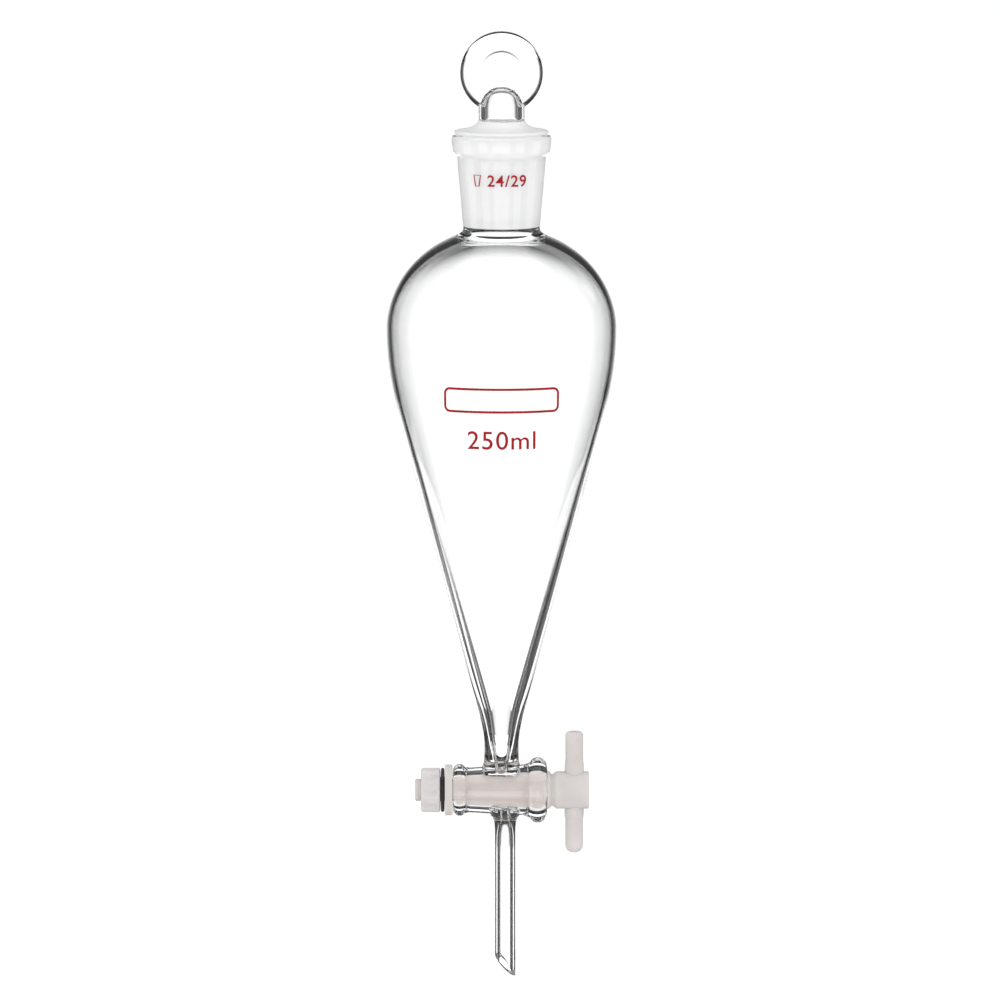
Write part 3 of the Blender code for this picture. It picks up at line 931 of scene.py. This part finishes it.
# What the glass meets. Directions are in degrees: a bearing runs from +Y, behind the funnel in
# the photo, towards +X; from_sight is the angle from the photo's line of sight, which counts the
# same ahead and behind; a rise is above the horizon. The wall's stops are (from_sight, brightness).
WALL_STOPS = ((0, 1), (5, 0.97), (10, 0.85), (14.5, 0.72), (17, 0.38), (19, 0.14), (23, 0.05), (90, 0))
PANEL, SOFTBOX, BOUNCE, SIDE, UPPER, DARK = 1.25, 1.2, 0.9, 0.3, 0.03, 0.012
# Bearings of the smaller panels that stand behind the glass in slanted views.
REAR_LEFT, FRONT_SIDES = -45, 135
# What matt surfaces meet: an even dome, a little brighter overhead and in front.
DOME_TOP, DOME_BOTTOM, DOME_FRONT = 1.1, 0.85, 0.45
BACKDROP = 1.02


def white_panels(tree, rise, bearing):
    """Brightness of the panels that clear glass meets, with dark gaps that draw its edges."""
    from_back = math_node(tree, "ABSOLUTE", bearing)
    from_sight = math_node(tree, "PINGPONG", from_back, 90)
    wall = stops(tree, from_sight, 90, WALL_STOPS)
    panels = (
        product(tree, wall, ramp(tree, rise, 9, -1), ramp(tree, rise, -12.3, -11.7)),
        product(tree, ramp(tree, from_sight, 24, 18), band(tree, rise, -20, -12, 1), 1.2),
        product(tree, ramp(tree, from_sight, 34, 25), band(tree, rise, -28, -21, 1.5), 1.2),
        product(tree, ramp(tree, from_sight, 76, 79), band(tree, rise, -34, 6, 3)),
        product(
            tree,
            band(tree, bearing, REAR_LEFT - 5, REAR_LEFT + 5, 2.5),
            band(tree, rise, -30, -20.5, 1.5),
            0.9,
        ),
        product(
            tree,
            band(tree, from_back, FRONT_SIDES - 9, FRONT_SIDES + 9, 3),
            band(tree, rise, -23, -7, 2),
        ),
    )
    brightest = panels[0]
    for panel in panels[1:]:
        brightest = math_node(tree, "MAXIMUM", brightest, panel)
    return total(
        tree,
        product(tree, brightest, PANEL),
        product(tree, ramp(tree, rise, 52, 62), SOFTBOX),
        product(tree, ramp(tree, rise, -58, -68), BOUNCE),
        product(tree, ramp(tree, rise, 2, 8), UPPER),
        product(tree, ramp(tree, from_sight, 66, 74), ramp(tree, from_sight, 79, 76), SIDE),
        DARK,
    )


def studio_light():
    """White all round for the camera, an even dome for what is matt, and panels for clear glass."""
    world = bpy.data.worlds.new("studio")
    bpy.context.scene.world = world
    world.use_nodes = True
    world.cycles.sampling_method = "NONE"
    tree = world.node_tree
    tree.nodes.clear()
    coords = tree.nodes.new("ShaderNodeTexCoord")
    split = tree.nodes.new("ShaderNodeSeparateXYZ")
    tree.links.new(coords.outputs["Generated"], split.inputs["Vector"])
    x, y, z = split.outputs
    in_degrees = 180 / math.pi
    rise = product(tree, math_node(tree, "ARCSINE", z), in_degrees)
    bearing = product(tree, math_node(tree, "ARCTAN2", x, y), in_degrees)
    panels = emitter(tree, white_panels(tree, rise, bearing))

    height = math_node(tree, "MULTIPLY_ADD", z, 0.5, 0.5)
    front = math_node(tree, "MAXIMUM", product(tree, y, -1), 0)
    dome = total(
        tree,
        product(tree, height, DOME_TOP - DOME_BOTTOM),
        DOME_BOTTOM,
        product(tree, front, DOME_FRONT),
    )
    path = tree.nodes.new("ShaderNodeLightPath")
    matt = math_node(tree, "GREATER_THAN", path.outputs["Diffuse Depth"], 0.5)
    seen = chosen(tree, matt, panels, emitter(tree, dome))
    output = tree.nodes.new("ShaderNodeOutputWorld")
    world_light = chosen(tree, path.outputs["Is Camera Ray"], seen, emitter(tree, BACKDROP))
    tree.links.new(world_light, output.inputs["Surface"])


def floor():
    """A round pale floor, well below the hanging funnel. Only the camera sees it: what glass and
    matt surfaces meet below them is the world's bounce and dome."""
    drop, radius = 0.35, 6.0
    builder = bmesh.new()
    bmesh.ops.create_circle(builder, cap_ends=True, radius=radius, segments=96)
    made = new_object("floor", mesh_from(builder, "floor"), floor_paint())
    made.location = (0, 0, cad_bounds[0].z - drop)
    made.visible_transmission = False
    made.visible_glossy = False
    made.visible_diffuse = False


def camera():
    """A long lens above the funnel, looking down by eight degrees, as in the photo."""
    data = bpy.data.cameras.new("camera")
    data.lens, data.sensor_width = 200.0, 36.0
    data.clip_start, data.clip_end = 0.1, 50.0
    made = bpy.data.objects.new("camera", data)
    bpy.context.scene.collection.objects.link(made)
    pitch, distance = math.radians(8.4), 1.729
    aim_x, aim_z = -0.00048, -0.0188
    made.location = (aim_x, -distance, aim_z + distance * math.tan(pitch))
    made.rotation_euler = Euler((math.pi / 2 - pitch, 0, 0))
    bpy.context.scene.camera = made


def colours_and_light_paths():
    """Plain colours, and enough bounces for a dozen glass walls, with nothing filtered out."""
    scene = bpy.context.scene
    scene.view_settings.view_transform = "Standard"
    scene.cycles.max_bounces = 40
    scene.cycles.transmission_bounces = 40
    scene.cycles.glossy_bounces = 32
    scene.cycles.diffuse_bounces = 12
    scene.cycles.blur_glossy = 0.0


def main():
    inner = THREAD_R + 0.15
    glass_vessel()
    stopper()
    stopcock_plug()
    ring_piece("flat_washer", "washer", WASHER_WHITE, inner, 0.35, WASHER_LOW, WASHER_HIGH)
    ring_piece("rubber_ring", "sealing_ring", RUBBER, inner, 0.5, RING_LOW, RING_HIGH, 0.15)
    lobed_nut()
    prints()
    floor()
    studio_light()
    camera()
    colours_and_light_paths()


main()
